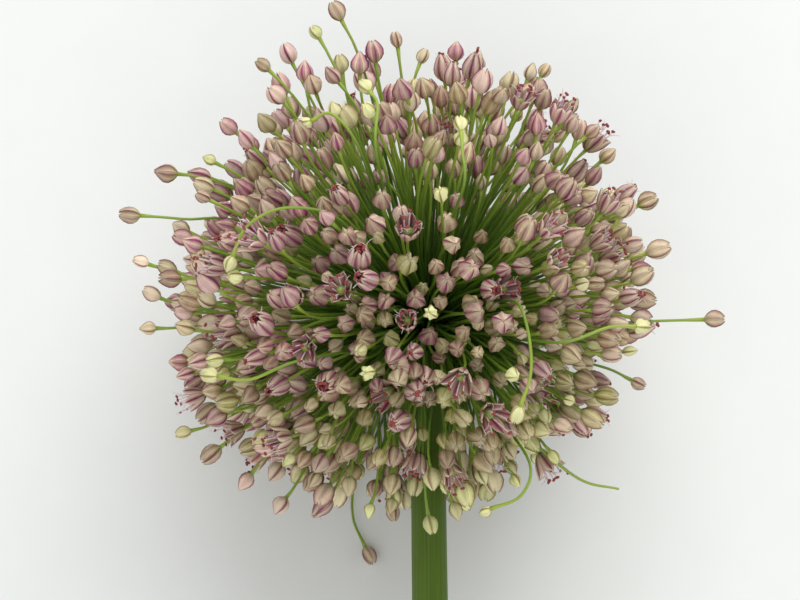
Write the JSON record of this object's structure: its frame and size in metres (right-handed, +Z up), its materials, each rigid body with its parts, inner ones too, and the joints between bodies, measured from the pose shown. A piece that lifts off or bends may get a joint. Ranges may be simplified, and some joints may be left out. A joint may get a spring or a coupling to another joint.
{
  "type": "allium flower head",
  "caption": "Cut allium flower head: a round umbel of long-stalked mauve buds and small open flowers on a thick leafless green scape, laid on its side.",
  "frame": {"origin": "on the surface that the flower lies on, under the middle of its bounding box", "axes": "+Z up, +Y towards the crown of the umbel, -Y towards the cut end of the scape, +X to the right seen from above"},
  "size_m": [0.1098, 0.1638, 0.0865],
  "materials": {
    "scape": "smooth green stem skin with a thin waxy bloom, standing in as wood-density plant tissue",
    "pedicel": "smooth thin green stalk, slightly glossy",
    "floret": "soft matte petal, mauve with a darker stripe and pale edges"
  },
  "bodies": {
    "root": {"bare_pedicel": "pedicel", "crown_cyme_01": "floret", "crown_cyme_02": "floret", "hanging_floret": "floret", "long_floret_left": "floret", "long_floret_low_left": "floret", "long_floret_low_right": "floret", "long_floret_right": "floret", "long_floret_top": "floret", "middle_cyme_01": "floret", "middle_cyme_02": "floret", "middle_cyme_03": "floret", "middle_cyme_04": "floret", "middle_cyme_05": "floret", "middle_cyme_06": "floret", "middle_cyme_07": "floret", "middle_cyme_08": "floret", "middle_cyme_09": "floret", "middle_cyme_10": "floret", "middle_cyme_11": "floret", "middle_cyme_12": "floret", "middle_cyme_13": "floret", "middle_cyme_14": "floret", "middle_cyme_15": "floret", "middle_cyme_16": "floret", "scape": "scape", "shoulder_cyme_01": "floret", "shoulder_cyme_02": "floret", "shoulder_cyme_03": "floret", "shoulder_cyme_04": "floret", "shoulder_cyme_05": "floret", "shoulder_cyme_06": "floret", "shoulder_cyme_07": "floret", "shoulder_cyme_08": "floret", "shoulder_cyme_09": "floret", "shoulder_cyme_10": "floret", "skirt_cyme_01": "floret", "skirt_cyme_02": "floret", "skirt_cyme_03": "floret", "skirt_cyme_04": "floret", "skirt_cyme_05": "floret", "skirt_cyme_06": "floret", "skirt_cyme_07": "floret", "skirt_cyme_08": "floret", "skirt_cyme_09": "floret", "skirt_cyme_10": "floret", "skirt_cyme_11": "floret", "skirt_cyme_12": "floret", "skirt_cyme_13": "floret", "skirt_cyme_14": "floret", "skirt_cyme_15": "floret", "skirt_cyme_16": "floret", "skirt_cyme_17": "floret", "skirt_cyme_18": "floret", "trailing_floret": "floret"}
  },
  "joints": []
}
